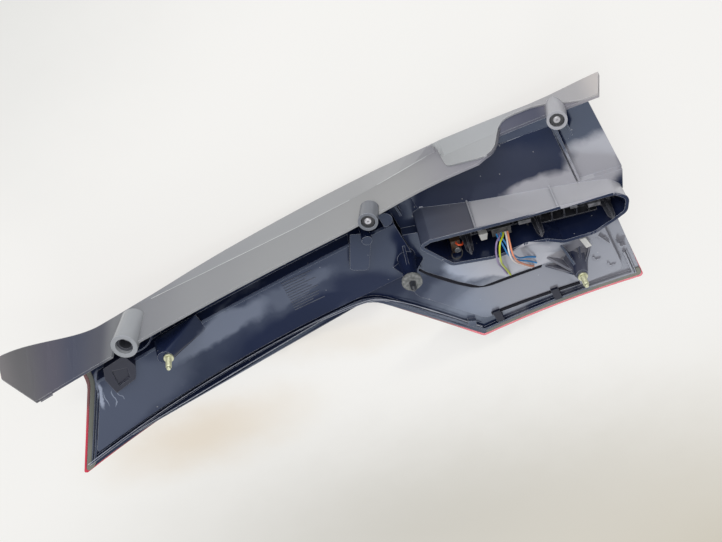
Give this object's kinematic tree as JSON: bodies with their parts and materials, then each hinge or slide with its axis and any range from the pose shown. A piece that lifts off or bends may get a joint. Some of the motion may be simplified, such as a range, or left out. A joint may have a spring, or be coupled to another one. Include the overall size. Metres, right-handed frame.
{
  "type": "tail light cluster",
  "caption": "Long pillar type tail lamp with a curved arm, a wide foot, a raised oval collar with the lamp carrier, side sleeves and fixing studs on its back.",
  "frame": {"origin": "on the centre pin's axis, at the top face of its washer", "axes": "+Z along the centre pin, away from the lens; +X along the side wall towards the wide end; +Y across the lamp towards the side wall"},
  "size_m": [0.6459, 0.3065, 0.1487],
  "materials": {
    "housing": "glossy moulded plastic",
    "panel": "fine satin plastic",
    "apron": "fine satin plastic",
    "lens": "polished clear red plastic",
    "strip": "satin",
    "bush": "dull",
    "screw": "bright",
    "zinc": "yellow zinc plating",
    "pin": "satin",
    "washer": "rough foam rubber",
    "carrier": "satin",
    "connector": "satin",
    "plug": "satin",
    "socket": "satin",
    "cap": "bright",
    "wire_yellow": "PVC sleeve",
    "wire_violet": "PVC sleeve",
    "wire_white": "PVC sleeve",
    "wire_orange": "PVC sleeve",
    "wire_blue": "PVC sleeve",
    "lead": "PVC sleeve",
    "loop": "PVC sleeve",
    "clip": "satin",
    "seal": "matte foam",
    "block": "satin",
    "reflector": "vacuum metallised",
    "guide": "clear",
    "board": "coated board",
    "bulb": "clear glass"
  },
  "bodies": {
    "root": {"rear_housing": "housing", "side_panel": "panel", "side_apron": "apron", "outer_lens": "lens", "rim_strip": "strip", "bush_a": "bush", "bush_b": "bush", "bush_c": "bush", "screw_b": "screw", "screw_c": "screw", "studs": "zinc", "centre_pin": "pin", "pin_washer": "washer", "lamp_carrier": "carrier", "wire_connector": "connector", "small_plug": "plug", "bulb_socket": "socket", "socket_cap": "cap", "wire_yellow": "wire_yellow", "wire_violet": "wire_violet", "wire_white": "wire_white", "wire_orange": "wire_orange", "wire_blue_a": "wire_blue", "wire_blue_b": "wire_blue", "lead_orange": "lead", "lead_loop": "loop", "rim_clips": "clip", "perimeter_seal": "seal", "rim_gasket": "seal", "white_clip": "plug", "pocket_block": "block", "reflector": "reflector", "light_guide": "guide", "led_board": "board", "bulbs": "bulb"}
  },
  "joints": []
}
